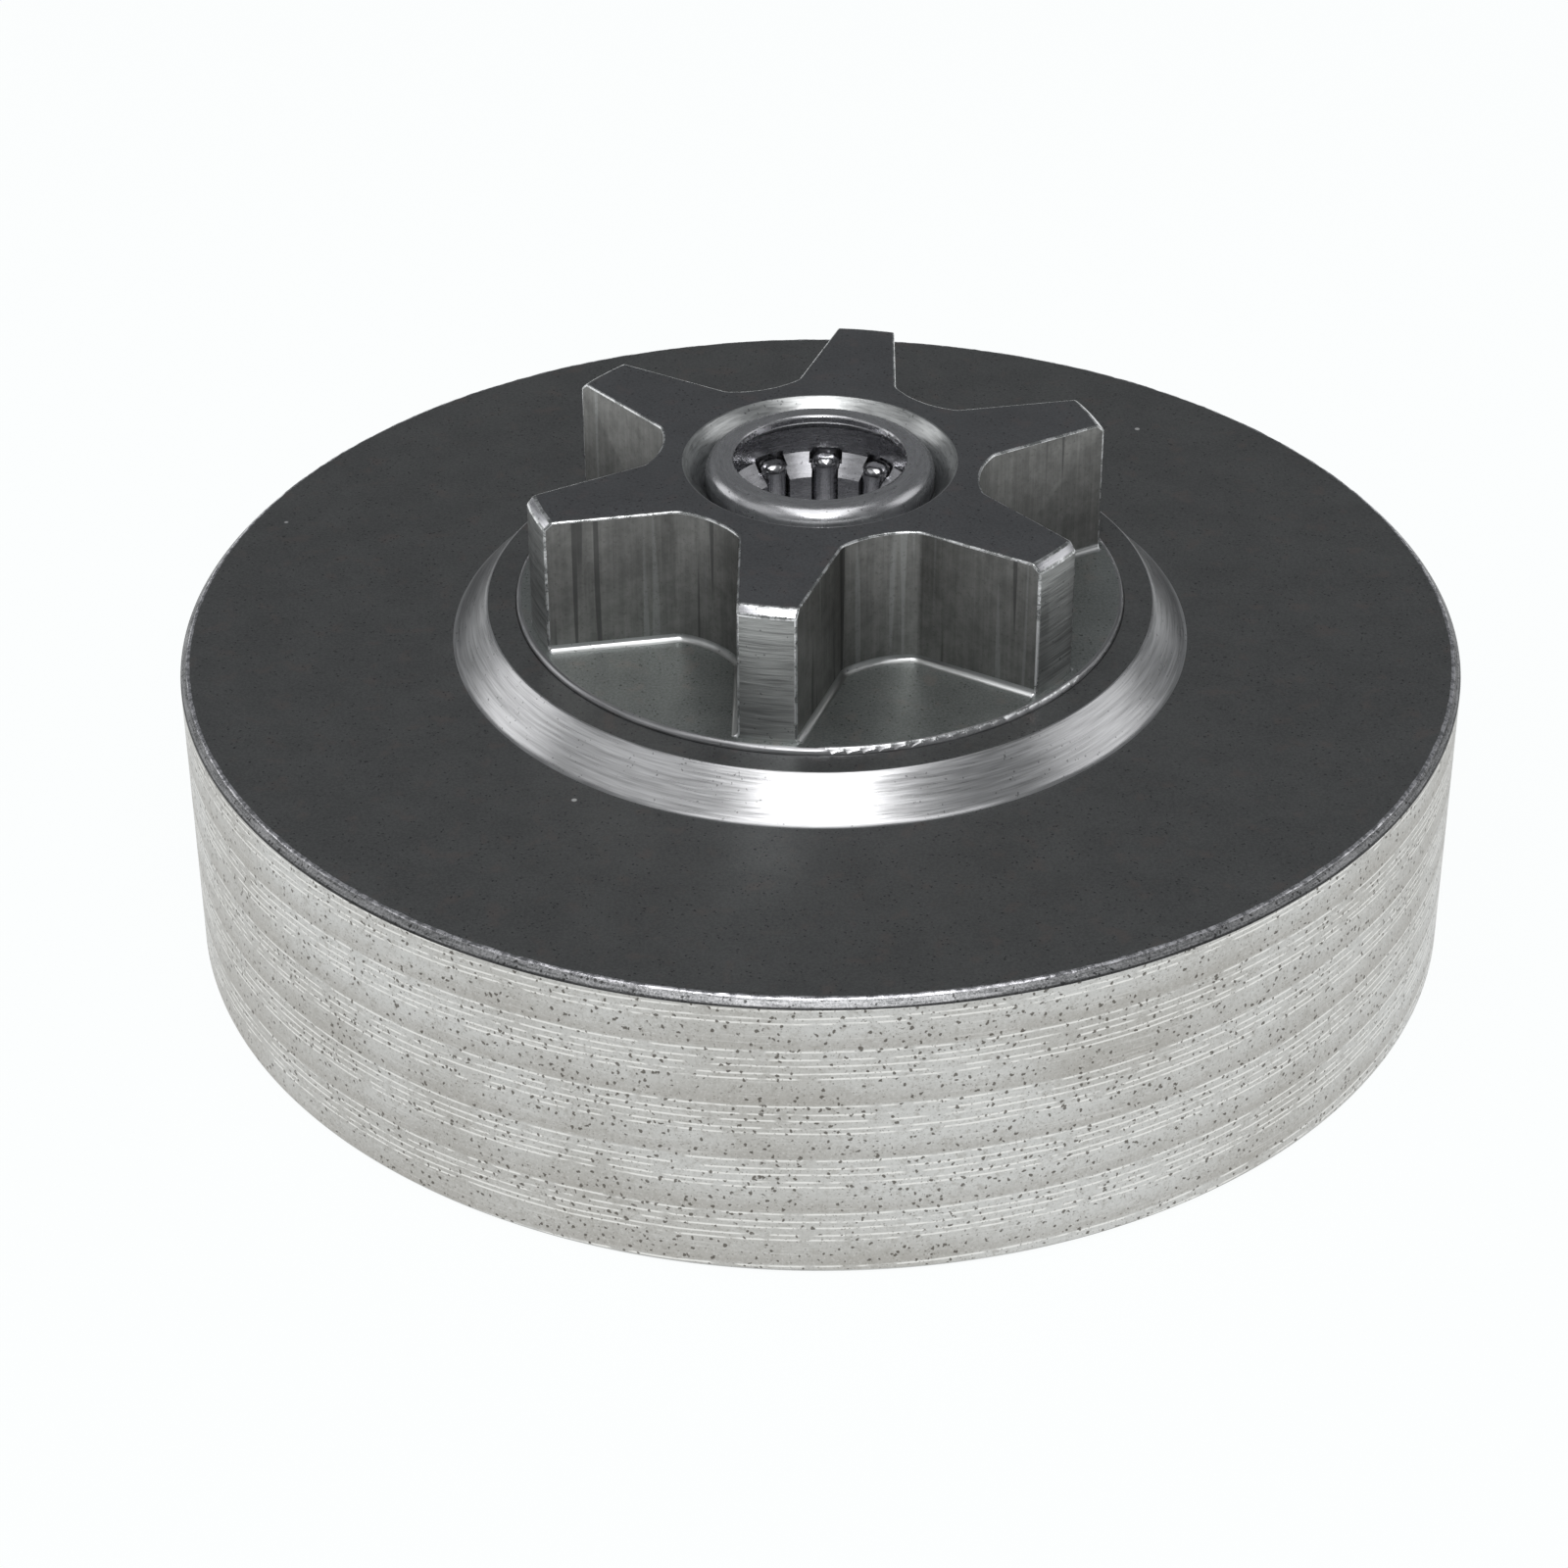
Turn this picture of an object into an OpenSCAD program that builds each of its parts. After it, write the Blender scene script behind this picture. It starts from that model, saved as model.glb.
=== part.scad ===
/* [Drum] */
// Outside diameter of the drum
drum_d = 68; // [60:0.5:90]
// Height of the drum, from its open rim to the face of the web
drum_h = 16.4; // [12:0.1:26]
// Thickness of the wall that the clutch shoes press on
wall_t = 3; // [2:0.1:5]
// Thickness of the web that closes the drum
web_t = 3; // [2:0.1:4.5]
// Radius of the inner corner between wall and web
inner_corner_r = 1.6; // [0.3:0.1:3]
// Chamfer turned on the outer edge of the web
web_chamfer = 0.4; // [0.1:0.05:1]
// Chamfer on the outer edge of the open rim
rim_chamfer = 0.25; // [0.1:0.05:0.8]
// Lead-in chamfer on the inner edge of the open rim
lead_in = 0.6; // [0.1:0.05:1]

/* [Boss] */
// Diameter of the turned cone where it meets the web
boss_base_d = 39; // [38.6:0.1:46]
// Diameter of the turned cone at its top
boss_top_d = 35.4; // [34.6:0.1:38.4]
// Height of the boss above the web
boss_h = 2.1; // [1:0.05:4]

/* [Sprocket] */
// Number of teeth
teeth = 6; // [6:1:7]
// Diameter over the turned tooth tips
tip_d = 31.2; // [29.6:0.1:32]
// Diameter at the bottom of the gullets
root_d = 16.9; // [16.4:0.1:18.6]
// Length of the teeth along the axis
tooth_len = 7.6; // [5:0.05:14]
// Width of a tooth at its tip
tip_w = 3; // [2.4:0.05:3.6]
// Angle at which each flank leans towards the middle of its tooth
flank_taper = 9.6; // [6:0.1:12]
// Radius of the hollow at the bottom of a gullet
root_arc_r = 5; // [4.4:0.1:6.5]
// Radius of the blend between the hollow and a flank
root_blend_r = 0.8; // [0.6:0.05:1.2]
// Radius of the cove where the teeth rise from the floor disc
cove_r = 0.35; // [0.1:0.05:0.5]
// Chamfer turned on the outer end of the tooth tips
tip_chamfer = 0.4; // [0.1:0.05:1]
// Angle by which the sprocket is turned in the drum
sprocket_turn = -9.7; // [-30:0.1:30]

/* [Floor disc and hub] */
// Diameter of the round floor under the teeth
disc_d = 32.3; // [32.2:0.1:33.8]
// Height of the floor above the top of the boss
disc_proud = 0.35; // [0.1:0.05:1.2]
// Thickness of the floor disc
disc_t = 2.4; // [1.8:0.05:3]
// Radius of the floor disc's outer edge
disc_edge_r = 0.3; // [0.1:0.05:0.6]
// Diameter of the hub that goes through the web
hub_d = 20; // [17:0.1:26]
// Chamfer on the inner end of the hub
hub_chamfer = 0.4; // [0.1:0.05:0.8]

/* [Needle bearing] */
// Wall thickness of the drawn cup
cup_wall = 0.48; // [0.3:0.02:0.8]
// Length of the drawn cup
cup_len = 12; // [11:0.1:12.6]
// Height by which the cup stands out of the sprocket's end
cup_proud = 0.2; // [0:0.05:0.5]
// Diameter of the shaft that the needles run on
shaft_d = 8; // [7:0.05:10]
// Diameter of a needle
roller_d = 1.5; // [1.3:0.02:1.6]
// Length of a needle
roller_len = 7.1; // [5.5:0.1:8.6]
// Radius of the rounded edge at each end of a needle
roller_end_r = 0.45; // [0.1:0.02:0.6]
// Thickness of the turned-in lips
lip_t = 0.58; // [0.5:0.02:0.8]
// Radius of the blunted edges round a lip's hole
lip_edge_r = 0.2; // [0.05:0.01:0.24]
// Outer corner radius of the drawn cup
cup_corner_r = 0.9; // [0.8:0.05:1.2]
// Thickness of the cage's strip
cage_t = 0.3; // [0.2:0.01:0.36]
// Distance from the needles' pitch circle in to the middle of the cage's bars
bar_drop = 0.45; // [0.35:0.01:0.55]
// Angle at which the bars step inwards
bar_slope = 44; // [32:1:52]
// Distance from a needle's end to the step in the bars
bar_step_inset = 0.1; // [0:0.01:0.5]
// Width of a pocket where the strip runs outside its needle's end
pocket_end_w = 1.76; // [1.7:0.02:2]
// Length of that wider part
pocket_end_len = 0.7; // [0.4:0.05:1]
// Width of the countersink round the cup at the bore's outer end
countersink_w = 1.15; // [0.5:0.05:1.4]
// Depth of the countersink
countersink_depth = 1.45; // [0.5:0.05:1.8]
// Angle of the first needle from the X axis
first_roller_angle = 86.4; // [0:0.1:360]

/* [Fits] */
// Radial gap between the shaft and the edge of a lip
lip_clearance = 0.5; // [0.2:0.05:0.7]
// Radial gap between the needles and the cup's track
track_gap = 0.02; // [0.01:0.005:0.05]
// Gap between a needle and the sides of its pocket
pocket_gap = 0.04; // [0.02:0.005:0.08]
// Gap between a needle's end and the end of its pocket
pocket_end_gap = 0.2; // [0.05:0.01:0.3]
// Radial gap between the cage's end rings and the cup's track
cage_gap = 0.08; // [0.04:0.005:0.12]
// Gap between the cage's end and the start of the cup's inner corner
cage_end_gap = 0.05; // [0.02:0.01:0.3]
// Radial gap that the braze fills between sprocket and drum
braze_gap = 0.03; // [0.02:0.005:0.08]

/* [Hidden] */
$fn = 120;
ROLLER_COUNT = 10;
// How far a cutting shape runs past the surface that it opens
overcut = 1;
// How far round shapes reach past the sides that they blend, so that the outlines cross
crossing = 0.001;

// Radii of the drum and the boss, and heights above the open rim
drum_r = drum_d / 2;
inner_r = drum_r - wall_t;
cavity_h = drum_h - web_t;
boss_top_z = drum_h + boss_h;
floor_z = boss_top_z + disc_proud;
seat_z = floor_z - disc_t;
top_z = floor_z + tooth_len;

// A gullet is drawn with its middle on the X axis. Its flanks are parallel to those of
// straight-sided teeth when flank_taper is 0, and meet on the axis at flank_start.
tip_r = tip_d / 2;
disc_r = disc_d / 2;
hub_r = hub_d / 2;
half_pitch = 180 / teeth;
flank_angle = half_pitch + flank_taper;
flank_dir = [cos(flank_angle), sin(flank_angle)];
flank_in = [sin(flank_angle), -cos(flank_angle)];
tip_along = sqrt(pow(tip_r, 2) - pow(tip_w / 2, 2));
tip_corner = [tip_along * cos(half_pitch) + tip_w / 2 * sin(half_pitch),
    tip_along * sin(half_pitch) - tip_w / 2 * cos(half_pitch)];
flank_start = [tip_corner[0] - tip_corner[1] / tan(flank_angle), 0];

// The blend's circle touches the flank from inside, and the hollow's circle from inside
root_centre = [root_d / 2 + root_arc_r, 0];
blend_inset = root_blend_r - crossing;
blend_reach = root_arc_r - blend_inset;
blend_offset = flank_start + blend_inset * flank_in - root_centre;
blend_along = -blend_offset * flank_dir
    - sqrt(pow(blend_offset * flank_dir, 2) - blend_offset * blend_offset + pow(blend_reach, 2));
blend_on_flank = flank_start + blend_along * flank_dir;
blend_centre = blend_on_flank + blend_inset * flank_in;
hollow_side = root_centre + 2 * (blend_centre - root_centre);
gullet_h = tooth_len + overcut;

// The cup's outer lip stands a little out of the teeth's ends
cup_half = cup_len / 2;
cup_mid_z = top_z + cup_proud - cup_half;
lip_hole_r = shaft_d / 2 + lip_clearance;
roller_r = roller_d / 2;
pitch_r = shaft_d / 2 + roller_r;
track_r = pitch_r + roller_r + track_gap;
cup_r = track_r + cup_wall;
cup_inner_corner_r = max(cup_corner_r - cup_wall, lip_edge_r);
roller_step = 360 / ROLLER_COUNT;

// The cage's end rings run near the track, and its bars step in to hold the needles from inside
ring_r = track_r - cage_gap - cage_t / 2;
bar_r = pitch_r - bar_drop;
cage_half = cup_half - lip_t - cup_inner_corner_r - cage_end_gap;
step_out_z = roller_len / 2 - bar_step_inset;
step_in_z = step_out_z - (ring_r - bar_r) / tan(bar_slope);
mitre = cage_t / 2 * tan(bar_slope / 2);
pocket_r = roller_r + pocket_gap;
pocket_half_len = roller_len / 2 + pocket_end_gap;
// A pocket's straight sides keep the gap from the needle where they meet the bars' outer side
bar_outer_r = bar_r + cage_t / 2;
side_depth = (pow(pitch_r, 2) + pow(bar_outer_r, 2) - pow(pocket_r, 2)) / (2 * pitch_r);
pocket_half_w = sqrt(pow(bar_outer_r, 2) - pow(side_depth, 2));
// Upper half of the cage's section, up its outer side and down its inner side
cage_half_section = [
    [bar_r + cage_t / 2, step_in_z - mitre],
    [ring_r + cage_t / 2, step_out_z - mitre],
    [ring_r + cage_t / 2, cage_half],
    [ring_r - cage_t / 2, cage_half],
    [ring_r - cage_t / 2, step_out_z + mitre],
    [bar_r - cage_t / 2, step_in_z + mitre]
];

function roller_name(i) = str("needle_roller_", i < 10 ? "0" : "", i);
function mirrored(points) = [for (p = points) [p[0], -p[1]]];
function reversed(list) = [for (i = [len(list) - 1 : -1 : 0]) list[i]];

// Half section of a round block whose upper outer corner is rounded
module rounded_block(r, h, corner) {
    square([r - corner, h]);
    square([r, h - corner]);
    translate([r - corner, h - corner]) intersection() {
        circle(corner);
        square(corner);
    }
}

// The same above and below the X axis
module rounded_bar(r, half, corner) {
    rounded_block(r, half, corner);
    mirror([0, 1]) rounded_block(r, half, corner);
}

module drum_section() {
    difference() {
        polygon([
            [0, 0],
            [drum_r - rim_chamfer, 0],
            [drum_r, rim_chamfer],
            [drum_r, drum_h - web_chamfer],
            [drum_r - web_chamfer, drum_h],
            [boss_base_d / 2, drum_h],
            [boss_top_d / 2, boss_top_z],
            [0, boss_top_z]
        ]);
        rounded_block(inner_r, cavity_h, inner_corner_r);
        polygon([
            [0, -overcut],
            [inner_r + lead_in + overcut, -overcut],
            [inner_r, lead_in],
            [0, lead_in]
        ]);
        square([hub_r + braze_gap, boss_top_z + overcut]);
        translate([0, seat_z]) square([disc_r + braze_gap, disc_t + overcut]);
    }
}

// Cup of the clutch: wall, web, and a boss with a bore and a seat for the sprocket
module clutch_drum() {
    color([0.34, 0.35, 0.35]) rotate_extrude() drum_section();
}

// Round blank of the sprocket, before its gullets and its bore are cut
module sprocket_blank() {
    rotate_extrude() {
        polygon([
            [0, cavity_h],
            [hub_r - hub_chamfer, cavity_h],
            [hub_r, cavity_h + hub_chamfer],
            [hub_r, floor_z],
            [tip_r, floor_z],
            [tip_r, top_z - tip_chamfer],
            [tip_r - tip_chamfer, top_z],
            [0, top_z]
        ]);
        translate([0, seat_z]) rounded_block(disc_r, disc_t, disc_edge_r);
    }
}

// Section of a gullet's edge, whose lower corner leaves the cove
module gullet_section(reach) {
    translate([0, gullet_h]) mirror([0, 1]) rounded_block(reach, gullet_h, cove_r);
}

module gullet_blend() {
    translate(blend_centre) rotate_extrude() gullet_section(root_blend_r);
}

// Straight cut along one flank, wide enough to reach past the blend's centre
module gullet_flank() {
    cut_w = root_blend_r + cove_r;
    translate(blend_on_flank + cut_w * flank_in)
        rotate(flank_angle) rotate([90, 0, 90]) linear_extrude(tip_r) gullet_section(cut_w);
}

// One gullet: the hollow at its bottom, then a blend and a flank on each side
module gullet() {
    intersection() {
        translate(root_centre) rotate_extrude() gullet_section(root_arc_r);
        linear_extrude(gullet_h) polygon([root_centre, hollow_side, mirrored([hollow_side])[0]]);
    }
    for (side = [0, 1])
        mirror([0, side, 0]) {
            gullet_blend();
            gullet_flank();
        }
    middle = [blend_centre, blend_centre + tip_r * flank_dir];
    linear_extrude(gullet_h) polygon(concat(middle, reversed(mirrored(middle))));
}

// Teeth, floor disc and hub in one piece, with a bore for the bearing
module spur_sprocket() {
    color([0.42, 0.43, 0.43]) difference() {
        sprocket_blank();
        for (i = [0 : teeth - 1])
            rotate(sprocket_turn - 90 + half_pitch + i * 2 * half_pitch)
                translate([0, 0, floor_z]) gullet();
        translate([0, 0, cavity_h - overcut]) cylinder(r = cup_r, h = top_z - cavity_h + 2 * overcut);
        translate([0, 0, top_z - countersink_depth])
            cylinder(r1 = cup_r, r2 = cup_r + countersink_w, h = countersink_depth);
        translate([0, 0, cavity_h]) cylinder(r1 = cup_r + hub_chamfer, r2 = cup_r, h = hub_chamfer);
    }
}

// Edge of the upper lip, blunted on both sides
module lip_edge() {
    for (z = [cup_half - lip_t + lip_edge_r, cup_half - lip_edge_r])
        translate([lip_hole_r + lip_edge_r, z]) circle(lip_edge_r);
    translate([lip_hole_r, cup_half - lip_t + lip_edge_r]) square([lip_edge_r, lip_t - 2 * lip_edge_r]);
}

// Half section of the drawn cup: one wall thickness, turned in to a lip at both ends
module cup_section() {
    difference() {
        rounded_bar(cup_r, cup_half, cup_corner_r);
        rounded_bar(track_r, cup_half - lip_t, cup_inner_corner_r);
        translate([0, -cup_len]) square([lip_hole_r + lip_edge_r, 2 * cup_len]);
    }
    lip_edge();
    mirror([0, 1]) lip_edge();
}

module bearing_shell() {
    color([0.62, 0.63, 0.64]) translate([0, 0, cup_mid_z]) rotate_extrude() cup_section();
}

module at_roller(i) {
    rotate(first_roller_angle + (i - 1) * roller_step) translate([pitch_r, 0]) children();
}

// Punch for one pocket, which stands off its needle all round
module pocket() {
    reach = pitch_r + track_r;
    cylinder(r = pocket_r, h = 2 * pocket_half_len, center = true);
    cube([reach, 2 * pocket_half_w, 2 * pocket_half_len], center = true);
    for (side = [0, 1])
        mirror([0, 0, side]) translate([0, 0, pocket_half_len - pocket_end_len / 2])
            cube([reach, pocket_end_w, pocket_end_len], center = true);
}

// Cage of bent strip, with a punched pocket for each needle
module needle_cage() {
    color([0.5, 0.5, 0.5]) translate([0, 0, cup_mid_z]) difference() {
        rotate_extrude() polygon(concat(cage_half_section, reversed(mirrored(cage_half_section))));
        for (i = [1 : ROLLER_COUNT]) at_roller(i) pocket();
    }
}

module needle_roller(i) {
    color([0.7, 0.71, 0.72]) translate([0, 0, cup_mid_z])
        at_roller(i) rotate_extrude() rounded_bar(roller_r, roller_len / 2, roller_end_r);
}

clutch_drum();
spur_sprocket();
bearing_shell();
needle_cage();
needle_roller(1);  // needle_roller_01
needle_roller(2);  // needle_roller_02
needle_roller(3);  // needle_roller_03
needle_roller(4);  // needle_roller_04
needle_roller(5);  // needle_roller_05
needle_roller(6);  // needle_roller_06
needle_roller(7);  // needle_roller_07
needle_roller(8);  // needle_roller_08
needle_roller(9);  // needle_roller_09
needle_roller(10);  // needle_roller_10
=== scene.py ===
# %% [markdown]
# # A clutch drum with a chain sprocket
# This is a spare part of a chain saw. A steel drum, open below, carries a small gear with
# six teeth, and a needle bearing sits in the middle of the gear. The parts come from the
# construction model, so their sizes and places are settled. What is left to do here is the
# metal itself: edges that catch the light, tool marks, pores, and a dark pressed skin.

# %% Load the construction model
import math

import bmesh
import bpy
from mathutils import Matrix, Vector


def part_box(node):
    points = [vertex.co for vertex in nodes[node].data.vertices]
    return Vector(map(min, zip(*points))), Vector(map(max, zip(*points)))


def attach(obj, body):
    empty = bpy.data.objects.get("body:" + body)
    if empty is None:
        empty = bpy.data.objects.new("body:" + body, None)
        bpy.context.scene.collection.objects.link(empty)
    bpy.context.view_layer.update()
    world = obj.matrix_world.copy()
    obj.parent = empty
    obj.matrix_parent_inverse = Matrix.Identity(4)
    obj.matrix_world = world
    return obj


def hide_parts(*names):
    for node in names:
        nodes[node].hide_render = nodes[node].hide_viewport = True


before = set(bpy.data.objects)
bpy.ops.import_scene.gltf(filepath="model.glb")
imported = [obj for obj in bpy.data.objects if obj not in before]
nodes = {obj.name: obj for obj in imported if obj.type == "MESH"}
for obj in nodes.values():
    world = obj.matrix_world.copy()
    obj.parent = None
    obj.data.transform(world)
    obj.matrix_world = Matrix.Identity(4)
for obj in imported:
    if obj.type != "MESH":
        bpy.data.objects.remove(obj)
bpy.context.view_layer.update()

MM = 0.001

# %% [markdown]
# ## The camera
# The photograph was taken from a little above with a long lens, from about 22 cm away. A
# long lens keeps the drum's circles close to true ellipses. The camera is aimed by three
# axes: forward points at a spot inside the drum, right stays level, and a slight roll
# follows the way the camera was held.

# %% Camera
CAMERA_PLACE = Vector((0, -181.93, 125.69)) * MM
CAMERA_TARGET = Vector((-1.955, 0, 6.201)) * MM
CAMERA_ROLL = math.radians(-0.279)
CAMERA_LENS = 90.94

forward = (CAMERA_TARGET - CAMERA_PLACE).normalized()
level = forward.cross(Vector((0, 0, 1))).normalized()
upright = level.cross(forward)
right = level * math.cos(CAMERA_ROLL) + upright * math.sin(CAMERA_ROLL)
top = upright * math.cos(CAMERA_ROLL) - level * math.sin(CAMERA_ROLL)

camera_data = bpy.data.cameras.new("camera")
camera_data.lens = CAMERA_LENS
camera_data.sensor_width = 36
camera_data.clip_start = 0.01
camera = bpy.data.objects.new("camera", camera_data)
bpy.context.scene.collection.objects.link(camera)
axes = Matrix((right, top, -forward)).transposed().to_4x4()
camera.matrix_world = Matrix.Translation(CAMERA_PLACE) @ axes
bpy.context.scene.camera = camera
print("camera looks down by", round(math.degrees(math.asin(-forward.z)), 1), "degrees")

# %% [markdown]
# ## The light
# A shiny part shows its surroundings more than its own colour, so the lamps are placed by
# what each face mirrors. The cone on the drum leans back by about forty degrees and
# mirrors a small lamp above the camera in its front, and the two wide side lamps beside
# it. The flat faces mirror the dim room behind, and stay dark. A wide lamp high in front
# gives the plain level of light, and is seen only in the few faces that lean towards it.

# %% Lamps and surroundings
def lamp(name, azimuth, elevation, distance, size, radiance):
    """A square lamp that faces the part. Azimuth 0 is the camera's side, 90 is its right."""
    turned, raised = math.radians(azimuth), math.radians(elevation)
    out = Vector((math.sin(turned), -math.cos(turned), 0)) * math.cos(raised)
    out.z = math.sin(raised)
    data = bpy.data.lights.new(name, "AREA")
    data.size = size
    data.energy = radiance * math.pi * size ** 2
    made = bpy.data.objects.new(name, data)
    bpy.context.scene.collection.objects.link(made)
    made.location = out * distance + Vector((0, 0, 20 * MM))
    made.rotation_mode = "QUATERNION"
    made.rotation_quaternion = out.to_track_quat("Z", "Y")
    print(name, "power", round(data.energy, 2))


lamp("key lamp", 0, 47, 0.7, 0.13, 26)
lamp("left lamp", -108, 20, 0.8, 0.4, 1.0)
lamp("left fill", -64, 36, 0.8, 0.5, 0.45)
lamp("right lamp", 98, 24, 0.8, 0.45, 0.8)
lamp("high lamp", 0, 72, 1.0, 0.8, 1.6)

world = bpy.data.worlds.new("studio")
bpy.context.scene.world = world
world.use_nodes = True
world.node_tree.nodes["Background"].inputs["Color"].default_value = (0.95, 0.98, 1.0, 1)
world.node_tree.nodes["Background"].inputs["Strength"].default_value = 0.2
bpy.context.scene.view_settings.view_transform = "Standard"

# %% [markdown]
# ## A small language for materials
# A procedural material is a graph of nodes. Written out link by link it is hard to read, so
# two short classes turn it into sums. `Finish` owns one material and makes any node from
# its type, settings and inputs. `Value` wraps a number that varies over the surface, and
# its operators add Math nodes: `1 - mask * 0.4` reads as it would on paper.

# %% Material classes
class Value:
    """A number that varies over a surface."""

    def __init__(self, finish, socket):
        self.finish, self.socket = finish, socket

    def maths(self, operation, *terms):
        made = self.finish.node("ShaderNodeMath", {"operation": operation}, dict(enumerate(terms)))
        return Value(self.finish, made.outputs[0])

    def __add__(self, other):
        return self.maths("ADD", self, other)

    def __sub__(self, other):
        return self.maths("SUBTRACT", self, other)

    def __rsub__(self, other):
        return self.maths("SUBTRACT", other, self)

    def __mul__(self, other):
        return self.maths("MULTIPLY", self, other)

    def __truediv__(self, other):
        return self.maths("DIVIDE", self, other)

    def __rtruediv__(self, other):
        return self.maths("DIVIDE", other, self)

    def __pow__(self, other):
        return self.maths("POWER", self, other)

    __radd__ = __add__
    __rmul__ = __mul__

    def sine(self):
        return self.maths("SINE", self)

    def cosine(self):
        return self.maths("COSINE", self)

    def rise(self, low, high):
        """0 at low, 1 at high and a soft step between. It falls where low is the larger."""
        inputs = {"Value": self, "From Min": low, "From Max": high}
        made = self.finish.node("ShaderNodeMapRange", {"interpolation_type": "SMOOTHSTEP"}, inputs)
        return Value(self.finish, made.outputs[0])


class Finish:
    """One material, and the nodes that its surface is worked out with."""

    def __init__(self, name, metallic=1.0, roughness=0.4):
        self.material = bpy.data.materials.new(name)
        self.material.use_nodes = True
        self.tree = self.material.node_tree
        self.shader = self.tree.nodes["Principled BSDF"]
        self.shader.inputs["Metallic"].default_value = metallic
        self.shader.inputs["Roughness"].default_value = roughness
        place = self.node("ShaderNodeTexCoord").outputs["Object"]
        self.place = self.vector_maths("SCALE", place, 1 / MM)
        parts = self.node("ShaderNodeSeparateXYZ", {}, {0: self.place})
        self.x, self.y, self.z = (Value(self, parts.outputs[i]) for i in range(3))
        self.radius = (self.x ** 2 + self.y ** 2) ** 0.5
        self.angle = self.y.maths("ARCTAN2", self.y, self.x)

    def node(self, kind, settings=None, inputs=None):
        made = self.tree.nodes.new(kind)
        for setting, value in (settings or {}).items():
            setattr(made, setting, value)
        for key, value in (inputs or {}).items():
            if isinstance(value, Value):
                value = value.socket
            if isinstance(value, bpy.types.NodeSocket):
                self.tree.links.new(value, made.inputs[key])
            else:
                made.inputs[key].default_value = value
        return made

    def vector_maths(self, operation, vector, other):
        second = "Scale" if operation == "SCALE" else 1
        inputs = {0: vector, second: other}
        return self.node("ShaderNodeVectorMath", {"operation": operation}, inputs).outputs[0]

    def vector(self, x, y, z):
        return self.node("ShaderNodeCombineXYZ", {}, {0: x, 1: y, 2: z}).outputs[0]

    def noise(self, scale, place=None, detail=2.0, roughness=0.5):
        """Smooth random bumps. Scale is about how many there are to a millimetre."""
        inputs = {"Vector": place or self.place, "Scale": scale, "Detail": detail, "Roughness": roughness}
        return Value(self, self.node("ShaderNodeTexNoise", {}, inputs).outputs[0])

    def stirred(self, scale, reach):
        """The place, pushed about by up to reach mm, so that round spots get ragged."""
        inputs = {"Vector": self.place, "Scale": scale, "Detail": 1.0}
        push = self.node("ShaderNodeTexNoise", {}, inputs).outputs["Color"]
        return self.vector_maths("ADD", self.place, self.vector_maths("SCALE", push, reach))

    def spots(self, per_mm, size, place=None):
        """1 within size of the nearest of many scattered points, and 0 elsewhere."""
        inputs = {"Vector": place or self.place, "Scale": per_mm}
        distance = Value(self, self.node("ShaderNodeTexVoronoi", {}, inputs).outputs["Distance"])
        return distance.rise(size, size * 0.6)

    def mix(self, low, high, amount):
        """Mixes two colours. Each is a tuple or a socket."""
        colours = [(*c, 1) if isinstance(c, tuple) else c for c in (low, high)]
        inputs = {0: amount, 6: colours[0], 7: colours[1]}
        return self.node("ShaderNodeMix", {"data_type": "RGBA"}, inputs).outputs[2]

    def wear(self, colour, roughness=None, height=None, depth=0.01):
        """Feeds the shader. Height goes from 0 to 1, and depth is what 1 stands for in mm."""
        self.tree.links.new(colour, self.shader.inputs["Base Color"])
        if roughness is not None:
            self.tree.links.new(roughness.socket, self.shader.inputs["Roughness"])
        if height is not None:
            bump = self.node("ShaderNodeBump", {}, {"Height": height, "Distance": depth * MM})
            self.tree.links.new(bump.outputs[0], self.shader.inputs["Normal"])
        return self.material

# %% [markdown]
# ## Tool marks
# A lathe leaves fine rings. They are nearly the same all the way round, so their noise is
# read on a squashed copy of the place: going round the part moves only a little way
# through the noise, and going along it moves a long way. Sintered steel also has open
# pores, because it was pressed from powder.

# %% Rings and pores
def ring_place(finish, along, drift, fineness):
    """A place for noise that draws rings. Drift is how much they change on their way round."""
    across = drift / finish.radius
    return finish.vector(finish.x * across, finish.y * across, along * fineness)


def pores(finish, per_mm, size, share):
    """Open pores, as a mask that is 1 inside a pore. Share is how many of them are open."""
    chosen = finish.noise(per_mm * 0.37, detail=0.0).rise(0.62 - share * 0.3, 0.66 - share * 0.3)
    ragged = finish.stirred(per_mm * 1.6, 0.7 / per_mm)
    return finish.spots(per_mm, size, ragged) * chosen


def ridge(value, centre, width):
    """A soft line: 1 where value is at centre, and 0 from width away."""
    return ((value - centre) ** 2).rise(width ** 2, 0)


# %% [markdown]
# ## The turned wall
# The clutch's brake band runs on this wall, so it was turned smooth. The tool was fed up
# the wall by 3.25 mm a turn, and its chipped edge drew the same five hair lines on every
# turn, with a plain band above them. So the pattern is a screw thread: it is read from how
# far a point lies above the tool's lower end, and that climbs with the angle. Pores are
# open everywhere.

# %% Finish of the wall
TOOL_FEED = 3.25
TOOL_START = 12.51
TOOL_LINES = (0.2, 0.5, 0.95, 1.33, 1.8)


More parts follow.
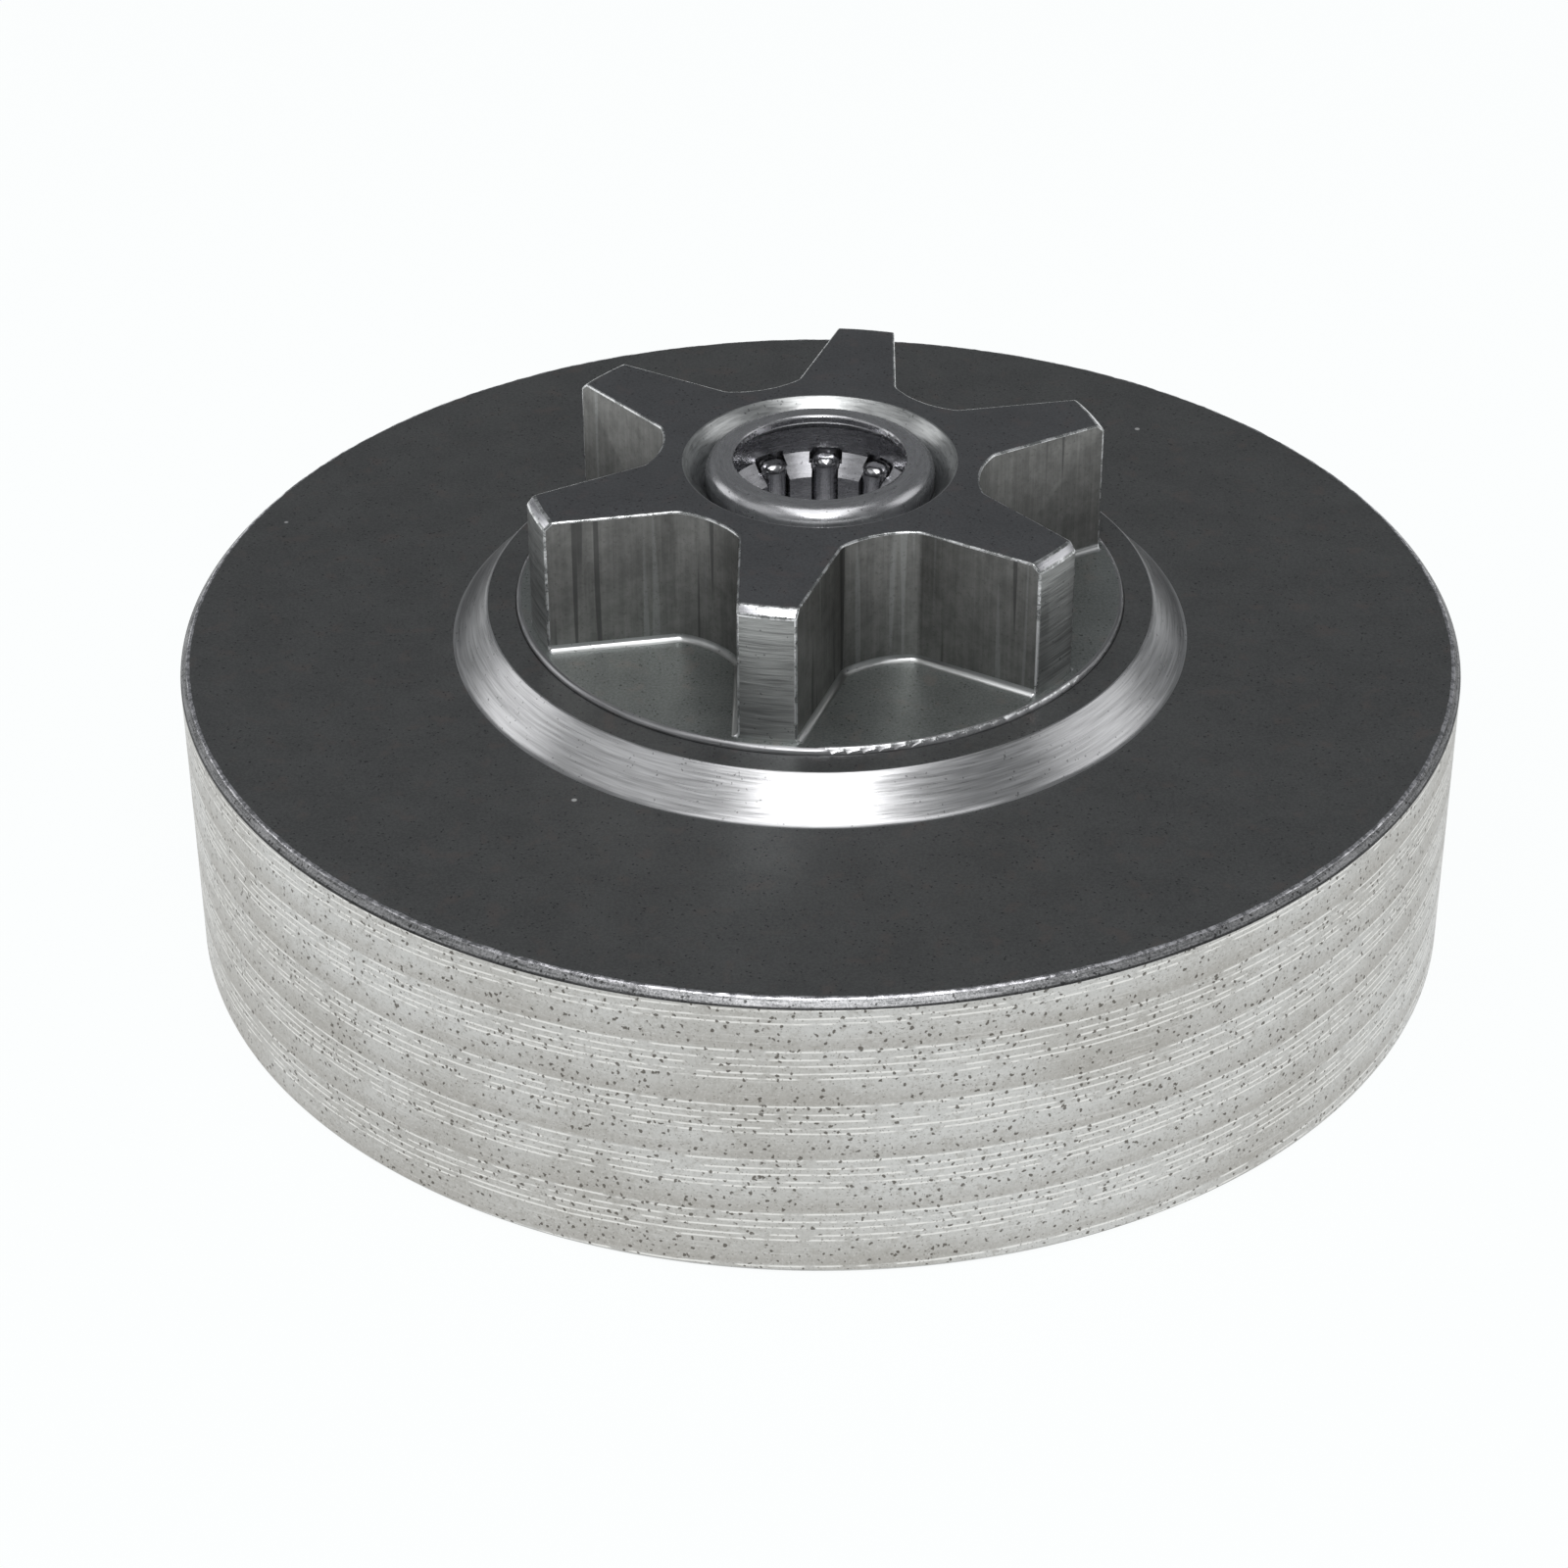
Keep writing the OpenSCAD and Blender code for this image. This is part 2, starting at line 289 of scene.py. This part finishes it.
def turned_wall():
    finish = Finish("turned_wall")
    turns = (finish.z - TOOL_START) / TOOL_FEED - finish.angle / (2 * math.pi)
    sway = finish.noise(0.12, detail=2.0)
    along = turns.maths("FRACT", turns) * TOOL_FEED + (sway - 0.5) * 0.25
    lines = sum(ridge(along, line, 0.075) for line in TOOL_LINES)
    whole = finish.noise(1.0, ring_place(finish, finish.z, 30.0, 1.7), detail=2.0).rise(0.36, 0.52)
    hairs = finish.noise(1.0, ring_place(finish, finish.z, 7.0, 7.0), detail=2.0, roughness=0.6)
    band = along.rise(1.82, 1.98) * along.rise(3.15, 1.9)
    cloud = finish.noise(0.3, ring_place(finish, finish.z, 9.0, 0.35), detail=3.0)
    mottle = finish.noise(2.2, detail=3.0, roughness=0.7)
    grain = finish.noise(6.5, detail=2.0, roughness=0.8)
    pits = pores(finish, 2.4, 0.27, 0.95)
    specks = pores(finish, 4.6, 0.26, 0.95)
    tone = finish.mix((0.50, 0.49, 0.465), (0.63, 0.63, 0.615), cloud.rise(0.35, 0.65))
    tone = finish.mix(tone, (0.39, 0.37, 0.34), band * 0.5)
    tone = finish.mix(tone, (0.40, 0.385, 0.355), mottle.rise(0.50, 0.72) * 0.55)
    tone = finish.mix(tone, (0.34, 0.33, 0.31), grain.rise(0.52, 0.70) * 0.40)
    tone = finish.mix(tone, (0.74, 0.735, 0.72), grain.rise(0.46, 0.32) * 0.35)
    tone = finish.mix(tone, (0.80, 0.79, 0.77), hairs.rise(0.56, 0.70) * 0.3)
    tone = finish.mix(tone, (0.96, 0.95, 0.92), lines * whole * 0.75)
    tone = finish.mix(tone, (0.20, 0.185, 0.165), specks * 0.5)
    tone = finish.mix(tone, (0.10, 0.09, 0.075), pits * 0.85)
    height = lines * whole * 0.5 + hairs * 0.3 + grain * 0.35 + (1 - pits) * 0.7
    return finish.wear(tone, 0.36 + mottle * 0.16, height, 0.014)


# %% [markdown]
# ## The pressed skin
# The web, the tops of the teeth and the floor between them were never turned. Powder that
# was pressed in a die and treated with steam keeps a dense dark skin with a very fine
# grain and faint clouds. Here and there a crumb of bright metal is stuck to it.

# %% Finish of the pressed faces
def pressed_skin(name, dark, light, roughness=0.44, crumbs=0.0):
    finish = Finish(name, metallic=0.85)
    grain = finish.noise(7.0, detail=3.0, roughness=0.75)
    cloud = finish.noise(0.35, detail=4.0, roughness=0.6)
    tint = finish.noise(0.8, finish.vector(finish.y, finish.z, finish.x), detail=2.0)
    pits = pores(finish, 3.4, 0.24, 0.6)
    tone = finish.mix(dark, light, grain.rise(0.36, 0.64) * 0.65 + cloud.rise(0.3, 0.7) * 0.35)
    tone = finish.mix(tone, tuple(c * f for c, f in zip(light, (1.15, 0.95, 0.9))), tint.rise(0.55, 0.75) * 0.4)
    tone = finish.mix(tone, tuple(0.45 * c for c in dark), pits * 0.8)
    if crumbs:
        bright = finish.spots(0.16, 0.03) * finish.noise(0.1, detail=0.0).rise(0.5, 0.52)
        tone = finish.mix(tone, (0.8, 0.8, 0.8), bright * crumbs)
    height = grain * 0.5 + (1 - pits) * 0.5
    return finish.wear(tone, roughness - 0.06 + grain * 0.14, height, 0.010)


# %% [markdown]
# ## The turned cone
# The cone round the boss was turned with a fine feed after pressing, so it is bare bright
# steel. Its hair lines run round it, broken in places, with a few dark ones between.

# %% Finish of the cone and of other turned faces
def turned_steel(name, colour, roughness, along="radius", fineness=7.0, contrast=1.0, depth=0.01):
    finish = Finish(name)
    way = finish.z if along == "z" else finish.radius
    rings = finish.noise(1.0, ring_place(finish, way, 3.0, fineness), detail=2.5, roughness=0.7)
    hairs = finish.noise(1.0, ring_place(finish, way, 9.0, fineness * 2.3), detail=1.5)
    grain = finish.noise(6.0, detail=2.0)
    pits = pores(finish, 3.0, 0.2, 0.35)
    light = tuple(min(1.0, c * (1 + 0.25 * contrast)) for c in colour)
    dark = tuple(c * (1 - 0.4 * contrast) for c in colour)
    tone = finish.mix(dark, light, rings.rise(0.25, 0.75) * 0.6 + hairs.rise(0.25, 0.75) * 0.4)
    tone = finish.mix(tone, tuple(0.3 * c for c in colour), pits * 0.7)
    height = rings * 0.5 + hairs * 0.3 + grain * 0.2
    return finish.wear(tone, roughness - 0.07 + hairs * 0.14, height, depth)


# %% [markdown]
# ## The broken edge
# The edge between the web and the wall was broken with one light cut. Its face is torn and
# grey, with a dark line where it runs out on the wall, and its colour is lightened in spots
# as painted glints. Along the web it has worn to a thin bright line. Its colour is painted
# bright in broken stretches, partly for that bare metal and partly as a painted highlight,
# and it glitters where it mirrors the lamp.

# %% Finish of the drum's edge
def broken_edge(dark_line_z):
    finish = Finish("broken_edge")
    glitter = finish.noise(8.0, detail=2.0, roughness=0.8)
    rings = finish.noise(1.0, ring_place(finish, finish.z, 14.0, 13.0), detail=2.0)
    # The glitter noise also lightens the colour in spots: painted glints, besides the roughness and bump it
    # drives.
    tone = finish.mix((0.13, 0.133, 0.135), (0.46, 0.46, 0.47), rings.rise(0.35, 0.65) * 0.5 + glitter.rise(0.4, 0.62) * 0.5)
    tone = finish.mix(tone, (0.06, 0.06, 0.06), pores(finish, 3.2, 0.3, 0.9) * 0.9)
    tone = finish.mix(tone, (0.05, 0.05, 0.05), finish.z.rise(dark_line_z + 0.09, dark_line_z + 0.03) * 0.85)
    return finish.wear(tone, 0.34 + glitter * 0.2, glitter + rings * 0.4, 0.016)


def worn_and_highlit_line(name, dull, bright, width_mm=0.5):
    """An edge worn bright and painted brighter as a highlight, with duller stretches of about width mm between.
    """
    finish = Finish(name)
    breaks = finish.noise(1 / width_mm, detail=3.0, roughness=0.7)
    # The bright stretches stand for bare worn metal, and are a painted highlight as well.
    tone = finish.mix(dull, bright, breaks.rise(0.42, 0.58))
    return finish.wear(tone, 0.20 + breaks * 0.16, finish.noise(7.0, detail=2.0), 0.012)


# %% [markdown]
# ## Turning the drum
# The drum is a body of rotation, and it is modelled the way a lathe hand sees it: a circle
# of points is drawn at one corner of the section, extruded, and resized to the next
# corner, until it comes back to where it began. The corners' radii are read from the
# construction model. Where a wide face ends at a corner, one more ring close to the corner
# keeps the face's shading flat. Then the corners get a small radius, and the drum's upper
# edge a slight waver, because no real edge is perfect.

# %% Section of the drum
def corner_radii(name, height):
    """Radii of a turned part's corners at one height in mm, smallest first."""
    corners = [v.co / MM for v in nodes[name].data.vertices]
    found = {round(math.hypot(c.x, c.y), 2) for c in corners if abs(c.z - height) < 0.004}
    return sorted(found)


RIM_CHAMFER, LEAD_IN, WEB_CHAMFER = 0.25, 0.6, 0.4
WEB_Z, CAVITY_Z, INNER_CORNER = 16.4, 13.4, 1.6
BOSS_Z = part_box("clutch_drum")[1].z / MM
DISC_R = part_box("spur_sprocket")[1].x / MM
SEAT_Z = BOSS_Z - 2.05

rim_in, rim_out = corner_radii("clutch_drum", 0)
cone_foot, web_out = corner_radii("clutch_drum", WEB_Z)
seat_in, seat_out = corner_radii("clutch_drum", SEAT_Z)
seat_out, cone_top = corner_radii("clutch_drum", BOSS_Z)
wall_in, wall_out = rim_in - LEAD_IN, rim_out + RIM_CHAMFER

corner_steps = 6
inner_corner = []
for i in range(corner_steps + 1):
    a = math.radians(90 - 90 * i / corner_steps)
    inner_corner.append((wall_in - INNER_CORNER * (1 - math.cos(a)), CAVITY_Z - INNER_CORNER * (1 - math.sin(a))))
drum_section = [
    (seat_in, SEAT_Z), (seat_in, CAVITY_Z), *inner_corner,
    (wall_in, LEAD_IN), (rim_in, 0), (rim_out, 0), (wall_out, RIM_CHAMFER),
    (wall_out, WEB_Z - WEB_CHAMFER), (web_out, WEB_Z), (cone_foot, WEB_Z),
    (cone_top, BOSS_Z), (seat_out, BOSS_Z), (seat_out, SEAT_Z),
]


def with_stays(section, stay=0.35):
    """Adds a ring close to both ends of each side that is longer than four stays."""
    full = []
    for start, end in zip(section, section[1:] + section[:1]):
        full.append(start)
        length = math.dist(start, end)
        if length > 4 * stay:
            for share in (stay / length, 1 - stay / length):
                full.append(tuple(a + (b - a) * share for a, b in zip(start, end)))
    return full


drum_section = with_stays(drum_section)
print("section corners", len(drum_section), "wall", wall_in, "to", wall_out)

# %% Turning
ROUND_STEPS = 512


def turn(name, section):
    """Turns a closed section, a list of (radius, height) in mm, from one ring of points."""
    bpy.ops.object.select_all(action="DESELECT")
    radius, height = section[0]
    bpy.ops.mesh.primitive_circle_add(vertices=ROUND_STEPS, radius=radius * MM, location=(0, 0, height * MM))
    piece = bpy.context.object
    piece.name = name
    bpy.ops.object.transform_apply(location=True, rotation=True, scale=True)
    bpy.ops.object.mode_set(mode="EDIT")
    bpy.ops.mesh.select_all(action="SELECT")
    for next_radius, next_height in section[1:]:
        rise = (0, 0, (next_height - height) * MM)
        bpy.ops.mesh.extrude_edges_move(TRANSFORM_OT_translate={"value": rise})
        scale = next_radius / radius
        bpy.ops.transform.resize(value=(scale, scale, 1), center_override=(0, 0, 0))
        radius, height = next_radius, next_height
    bpy.ops.mesh.select_all(action="DESELECT")
    bpy.ops.mesh.select_mode(type="EDGE")
    bpy.ops.mesh.select_non_manifold()
    bpy.ops.mesh.bridge_edge_loops()
    bpy.ops.mesh.select_all(action="SELECT")
    bpy.ops.mesh.normals_make_consistent(inside=False)
    bpy.ops.object.mode_set(mode="OBJECT")
    return piece


drum = turn("turned_drum", drum_section)
print("drum faces", len(drum.data.polygons))

# %% [markdown]
# ## Picking edges and faces by place
# By hand one would click on an edge. A script picks it by where it lies. Two helpers do
# this: one takes a test on an edge's middle and on how sharply it is folded, and one
# gives each face a finish from its middle and its normal, both in millimetres and both
# told as a radius and a height, because everything here was turned or is nearly round.

# %% Picking
def fold_edges(piece, test):
    """Selects the edges for which test(radius, height, fold) holds. Outer corners fold above 0."""
    bpy.ops.object.select_all(action="DESELECT")
    piece.select_set(True)
    bpy.context.view_layer.objects.active = piece
    bpy.ops.object.mode_set(mode="EDIT")
    bpy.ops.mesh.select_mode(type="EDGE")
    bpy.ops.mesh.select_all(action="DESELECT")
    mesh = bmesh.from_edit_mesh(piece.data)
    picked = 0
    for edge in mesh.edges:
        if len(edge.link_faces) == 2:
            middle = (edge.verts[0].co + edge.verts[1].co) / 2 / MM
            fold = math.degrees(edge.calc_face_angle_signed(0))
            edge.select_set(bool(test(math.hypot(middle.x, middle.y), middle.z, fold)))
            picked += edge.select
    bmesh.update_edit_mesh(piece.data)
    return picked


def round_edges(piece, width, steps, test, slot=-1):
    """Rounds the picked edges with an arc that starts width mm from them."""
    picked = fold_edges(piece, test)
    bpy.ops.mesh.bevel(offset=width * MM, segments=steps, profile=0.5, affect="EDGES", material=slot)
    bpy.ops.object.mode_set(mode="OBJECT")
    print(piece.name, "rounded", picked, "edges by", width, "mm")


def finish_faces(piece, choose):
    """Gives each face the slot that choose(radius, height, upward, outward) names, or leaves it."""
    for face in piece.data.polygons:
        middle = face.center / MM
        radius = math.hypot(middle.x, middle.y)
        outward = (face.normal.x * middle.x + face.normal.y * middle.y) / max(radius, 1e-6)
        slot = choose(radius, middle.z, face.normal.z, outward)
        if slot is not None:
            face.material_index = slot


def smooth(piece, angle=30):
    bpy.ops.object.select_all(action="DESELECT")
    piece.select_set(True)
    bpy.context.view_layer.objects.active = piece
    bpy.ops.object.shade_smooth_by_angle(angle=math.radians(angle))


# %% Corners of the drum
def near(value, target, reach=0.02):
    return abs(value - target) < reach


round_edges(drum, 0.05, 2, lambda r, z, fold: fold > 20 and not near(z, WEB_Z) and r > seat_out + 1)
EDGE_WEAR = 0.11
round_edges(drum, EDGE_WEAR, 3, lambda r, z, fold: fold > 20 and near(z, WEB_Z) and r > cone_foot + 1)
round_edges(drum, 0.2, 3, lambda r, z, fold: fold < -20 and near(z, WEB_Z))

# %% Waver of the upper edge
bpy.ops.object.select_all(action="DESELECT")
drum.select_set(True)
bpy.context.view_layer.objects.active = drum
bpy.ops.object.mode_set(mode="EDIT")
bpy.ops.mesh.select_mode(type="VERT")
bpy.ops.mesh.select_all(action="DESELECT")
mesh = bmesh.from_edit_mesh(drum.data)
for point in mesh.verts:
    radius = math.hypot(point.co.x, point.co.y) / MM
    point.select_set(near(radius, web_out, EDGE_WEAR + 0.02) and near(point.co.z / MM, WEB_Z, EDGE_WEAR))
mesh.select_flush_mode()
bmesh.update_edit_mesh(drum.data)
bpy.ops.transform.vertex_random(offset=0.02 * MM, uniform=1.0, normal=0.0, seed=3)
bpy.ops.object.mode_set(mode="OBJECT")

# %% [markdown]
# ## Dressing the drum
# One piece, but six finishes: the turned wall, the pressed skin, the turned cone, the
# broken edge with its worn line, whose colour is painted bright both for bare metal and as
# a highlight, and the bore where the clutch shoes grip. Each face takes the finish of the
# cut that made it.

# %% Finishes of the drum
WALL, SKIN, CONE, EDGE, WORN_AND_HIGHLIT, SHOE = range(6)
drum.data.materials.clear()
for material in (
    turned_wall(),
    pressed_skin("web_skin", (0.13, 0.133, 0.135), (0.19, 0.195, 0.195), 0.44, 1.0),
    turned_steel("turned_cone", (0.60, 0.60, 0.61), 0.30, "z", 6.0),
    broken_edge(WEB_Z - WEB_CHAMFER),
    # The worn web edge is painted bright: bare metal, and a painted highlight too.
    worn_and_highlit_line("worn_and_highlit_web_edge", (0.42, 0.42, 0.44), (0.92, 0.91, 0.95), 0.35),
    turned_steel("shoe_track", (0.50, 0.50, 0.49), 0.36, "z", 4.0),
):
    drum.data.materials.append(material)


def drum_finish(radius, height, upward, outward):
    if outward > 0.99 and radius > wall_out - 0.1:
        return WALL
    if height > WEB_Z - 0.02 and upward < 0.98 and radius < cone_foot + 0.25 and outward > 0.1:
        return CONE
    if radius > web_out - EDGE_WEAR + 0.01 and height > WEB_Z - 0.75 * EDGE_WEAR:
        return WORN_AND_HIGHLIT
    if radius > web_out and height > WEB_Z - WEB_CHAMFER - 0.1:
        return EDGE
    if upward > 0.9 or height > LEAD_IN + 0.2 and radius < wall_in - 0.05:
        return SKIN
    return SHOE


finish_faces(drum, drum_finish)
smooth(drum)
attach(drum, "drum")
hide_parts("clutch_drum")

# %% [markdown]
# ## The sprocket
# The teeth have curved gullets with a cove at the foot, which the construction model
# already holds exactly, so the sprocket starts as a copy of it. Its loose triangles are
# merged, and flat faces are made whole again. What the model lacks is what a file and a
# year in a box of parts do: no edge is knife sharp. Each outer edge gets a narrow round
# face with a finish of its own, because that is where the skin wears off first. Its
# colour is painted bright in broken stretches, partly for that bare metal and partly as a
# painted highlight.

# %% Copy of the sprocket
def own_copy(node_name, name):
    """A copy of a CAD node with its triangles merged and its flat faces whole."""
    piece = bpy.data.objects.new(name, nodes[node_name].data.copy())
    bpy.context.scene.collection.objects.link(piece)
    bpy.ops.object.select_all(action="DESELECT")
    piece.select_set(True)
    bpy.context.view_layer.objects.active = piece
    bpy.ops.object.mode_set(mode="EDIT")
    bpy.ops.mesh.select_all(action="SELECT")
    bpy.ops.mesh.remove_doubles(threshold=0.002 * MM)
    bpy.ops.mesh.dissolve_limited(angle_limit=math.radians(0.2))
    bpy.ops.mesh.normals_make_consistent(inside=False)
    bpy.ops.object.mode_set(mode="OBJECT")
    bpy.ops.mesh.customdata_custom_splitnormals_clear()
    piece.data.materials.clear()
    print(name, "faces", len(piece.data.polygons))
    return piece


sprocket = own_copy("spur_sprocket", "cut_sprocket")
TOP_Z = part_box("spur_sprocket")[1].z / MM
FLOOR_Z = BOSS_Z + 0.35

TOOTH_TOP, TIP_EDGE, TIP, FLANK, COVE, FLOOR, TURNED, SINK, RUBBED_AND_HIGHLIT = range(9)


def drawn_flank():
    """Marks that run along the axis, left when the pressed part was pushed out of its die."""
    finish = Finish("drawn_flank", metallic=0.95)
    streak_place = finish.vector(finish.x * 4.0, finish.y * 4.0, finish.z * 0.14)
    streaks = finish.noise(1.0, streak_place, detail=3.0, roughness=0.65)
    score_place = finish.vector(finish.x * 1.5, finish.y * 1.5, finish.z * 0.04)
    scores = finish.noise(1.0, score_place, detail=1.0)
    blots = finish.noise(0.9, detail=4.0, roughness=0.65)
    grain = finish.noise(5.0, detail=3.0, roughness=0.7)
    tone = finish.mix((0.17, 0.17, 0.165), (0.29, 0.29, 0.28), blots.rise(0.3, 0.7) * 0.6 + streaks.rise(0.3, 0.7) * 0.4)
    tone = finish.mix(tone, (0.08, 0.08, 0.08), scores.rise(0.64, 0.68) * 0.7)
    tone = finish.mix(tone, (0.38, 0.39, 0.385), scores.rise(0.34, 0.30) * 0.5)
    tone = finish.mix(tone, (0.13, 0.128, 0.125), grain.rise(0.54, 0.72) * 0.5)
    height = streaks * 0.4 + grain * 0.4 + blots * 0.4
    return finish.wear(tone, 0.36 + grain * 0.14, height, 0.018)


for material in (
    pressed_skin("tooth_skin", (0.135, 0.138, 0.145), (0.19, 0.195, 0.205), 0.42),
    turned_steel("tip_chamfer", (0.72, 0.72, 0.75), 0.28, "z", 4.0),
    turned_steel("tooth_tip", (0.42, 0.43, 0.425), 0.34, "z", 4.5, 1.2, 0.02),
    drawn_flank(),
    # The cove's bright colour is a painted highlight, where the concave foot mirrors the lamp.
    turned_steel("cove", (0.55, 0.56, 0.56), 0.32, "z", 1.0),
    # The floor between the teeth is the same pressed skin, painted lighter to stand in for the lamp light it
    # catches.
    pressed_skin("floor_skin_painted_lit", (0.20, 0.215, 0.21), (0.32, 0.34, 0.335), 0.40),
    turned_steel("sprocket_turned", (0.42, 0.42, 0.43), 0.32),
    turned_steel("countersink", (0.52, 0.53, 0.53), 0.30),
    # The worn tooth edges are painted bright: bare metal, and a painted highlight too.
    worn_and_highlit_line("rubbed_and_highlit_edge", (0.40, 0.41, 0.41), (0.92, 0.93, 0.94), 0.7),
):
    sprocket.data.materials.append(material)

round_edges(sprocket, 0.11, 3, lambda r, z, fold: fold > 28 and r > 8 and z > FLOOR_Z - 0.1, RUBBED_AND_HIGHLIT)
round_edges(sprocket, 0.05, 2, lambda r, z, fold: fold > 28 and (r < 8 or z < FLOOR_Z - 0.1))


def sprocket_finish(radius, height, upward, outward):
    if height > TOP_Z - 0.01 and upward > 0.99:
        return TOOTH_TOP
    # The floor takes the lighter copy of the skin, painted lit.
    if upward > 0.99 and near(height, FLOOR_Z):
        return FLOOR
    if radius > 14 and height > FLOOR_Z and 0.3 < upward < 0.95 and outward > 0.5:
        return TIP_EDGE
    if radius > 15.45 and height > FLOOR_Z and outward > 0.97:
        return TIP
    if 8.3 < radius < 15.55 and height > FLOOR_Z:
        # The cove's finish carries a painted highlight.
        return FLANK if abs(upward) < 0.05 else COVE
    if radius < 7.5 and height > TOP_Z - 1.3:
        return SINK
    return TURNED


# Faces of the worn edges, which carry the painted highlight, keep that finish.
rubbed_and_highlit_faces = {face.index for face in sprocket.data.polygons if face.material_index == RUBBED_AND_HIGHLIT}
finish_faces(sprocket, sprocket_finish)
for index in rubbed_and_highlit_faces:
    sprocket.data.polygons[index].material_index = RUBBED_AND_HIGHLIT
smooth(sprocket)
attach(sprocket, "drum")
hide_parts("spur_sprocket")

# %% [markdown]
# ## The needle bearing
# The cup was drawn from sheet, so it is smooth with faint rings. The cage was bent from
# strip and is duller, and the needles are ground and polished. These parts keep the
# construction model's shape, and only get their finishes.

# %% Finishes of the bearing
def dress(node_name, material):
    nodes[node_name].data.materials.clear()
    nodes[node_name].data.materials.append(material)


dress("bearing_shell", turned_steel("drawn_cup", (0.56, 0.56, 0.58), 0.27, "radius", 5.0, 0.5, 0.004))
needle_steel = turned_steel("needle_steel", (0.62, 0.62, 0.64), 0.16, "z", 3.0, 0.3, 0.002)
needles = [name for name in nodes if name.startswith("needle_roller")]
for name in needles:
    dress(name, needle_steel)
dress("needle_cage", turned_steel("cage_strip", (0.40, 0.40, 0.42), 0.26, "z", 5.0, 0.6, 0.006))
print("needles", len(needles))

# %% [markdown]
# ## The table
# A white table under white light shows almost no edge. The floor is a plain diffuse
# surface that still takes the part's shadow, mixed with a plain white glow that only the
# camera and mirrored rays see.

# %% Floor
bpy.ops.object.select_all(action="DESELECT")
bpy.ops.mesh.primitive_plane_add(size=6, location=(0, 0, 0))
floor = bpy.context.object
floor.name = "floor"


def white_table():
    finish = Finish("white_table", metallic=0.0, roughness=0.9)
    finish.shader.inputs["Base Color"].default_value = (0.80, 0.83, 0.84, 1)
    finish.shader.inputs["Specular IOR Level"].default_value = 0.0
    path = finish.node("ShaderNodeLightPath")
    seen = Value(finish, path.outputs["Is Camera Ray"]) + Value(finish, path.outputs["Is Glossy Ray"])
    glow = finish.node("ShaderNodeEmission", {}, {"Color": (0.985, 1.0, 1.0, 1), "Strength": 1.02})
    sockets = {0: seen * 0.93, 1: finish.shader.outputs[0], 2: glow.outputs[0]}
    mixed = finish.node("ShaderNodeMixShader", {}, sockets)
    finish.tree.links.new(mixed.outputs[0], finish.tree.nodes["Material Output"].inputs["Surface"])
    return finish.material


floor.data.materials.append(white_table())
